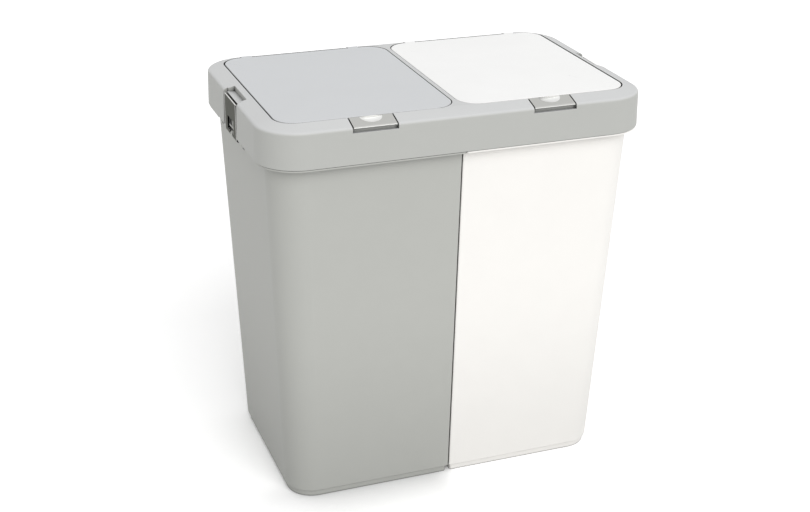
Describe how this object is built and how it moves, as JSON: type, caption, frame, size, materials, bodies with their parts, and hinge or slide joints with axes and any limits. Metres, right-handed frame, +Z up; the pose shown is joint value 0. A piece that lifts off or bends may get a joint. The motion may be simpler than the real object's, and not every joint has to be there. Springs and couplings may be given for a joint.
{
  "type": "double recycling bin",
  "caption": "Tall tapered waste bins standing side by side under one clip-on lid frame, each with a rear-hinged flap lid and a thumb latch.",
  "frame": {"origin": "on the floor, under the middle of the object", "axes": "+X to the right of someone facing the latches, -Y towards that person, +Z up"},
  "size_m": [0.54, 0.352, 0.564],
  "materials": {
    "frame_grey": "fine matt moulding, light cool grey",
    "lid_grey": "fine matt moulding, light cool grey",
    "bin_grey": "fine matt moulding, warm mid grey",
    "white_plastic": "fine matt moulding, warm white",
    "latch_silver": "satin silver",
    "clip_silver": "satin silver, a little darker than the latches",
    "pin_steel": "drawn rod",
    "spring_steel": "bare wire"
  },
  "bodies": {
    "lid_frame": {"lid_frame": "frame_grey", "left_lid_pin_outer": "pin_steel", "left_lid_pin_inner": "pin_steel", "right_lid_pin_outer": "pin_steel", "right_lid_pin_inner": "pin_steel", "left_latch_pin": "pin_steel", "right_latch_pin": "pin_steel", "left_latch_spring": "spring_steel", "right_latch_spring": "spring_steel"},
    "left_lid": {"left_lid": "lid_grey"},
    "right_lid": {"right_lid": "white_plastic"},
    "left_latch": {"left_latch": "latch_silver"},
    "right_latch": {"right_latch": "latch_silver"},
    "left_bin": {"left_bin": "bin_grey", "left_clip_pin": "pin_steel"},
    "right_bin": {"right_bin": "white_plastic", "right_clip_pin": "pin_steel"},
    "left_clip": {"left_clip": "clip_silver"},
    "right_clip": {"right_clip": "clip_silver"}
  },
  "joints": [
    {"name": "left_lid_hinge", "type": "hinge", "parent": "lid_frame", "child": "left_lid", "pos_m": [-0.1245, 0.162, 0.5556], "axis": [-1, 0, 0], "range_deg": [0, 100]},
    {"name": "right_lid_hinge", "type": "hinge", "parent": "lid_frame", "child": "right_lid", "pos_m": [0.1245, 0.162, 0.5556], "axis": [-1, 0, 0], "range_deg": [0, 100]},
    {"name": "left_latch_press", "type": "hinge", "parent": "lid_frame", "child": "left_latch", "pos_m": [-0.1245, -0.163, 0.5545], "axis": [-1, 0, 0], "range_deg": [0, 8], "stiffness_Nm_per_rad": 0.05, "springref_deg": -17.19, "deforming": ["left_latch_spring"]},
    {"name": "right_latch_press", "type": "hinge", "parent": "lid_frame", "child": "right_latch", "pos_m": [0.1245, -0.163, 0.5545], "axis": [-1, 0, 0], "range_deg": [0, 8], "stiffness_Nm_per_rad": 0.05, "springref_deg": -17.19, "deforming": ["right_latch_spring"]},
    {"name": "left_bin_release", "type": "slide", "parent": "lid_frame", "child": "left_bin", "axis": [0, 0, -1], "range_m": [0, 0.1]},
    {"name": "right_bin_release", "type": "slide", "parent": "lid_frame", "child": "right_bin", "axis": [0, 0, -1], "range_m": [0, 0.1]},
    {"name": "left_clip_hinge", "type": "hinge", "parent": "left_bin", "child": "left_clip", "pos_m": [-0.266, 0, 0.5025], "axis": [0, -1, 0], "range_deg": [0, 120]},
    {"name": "right_clip_hinge", "type": "hinge", "parent": "right_bin", "child": "right_clip", "pos_m": [0.266, 0, 0.5025], "axis": [0, 1, 0], "range_deg": [0, 120]}
  ]
}
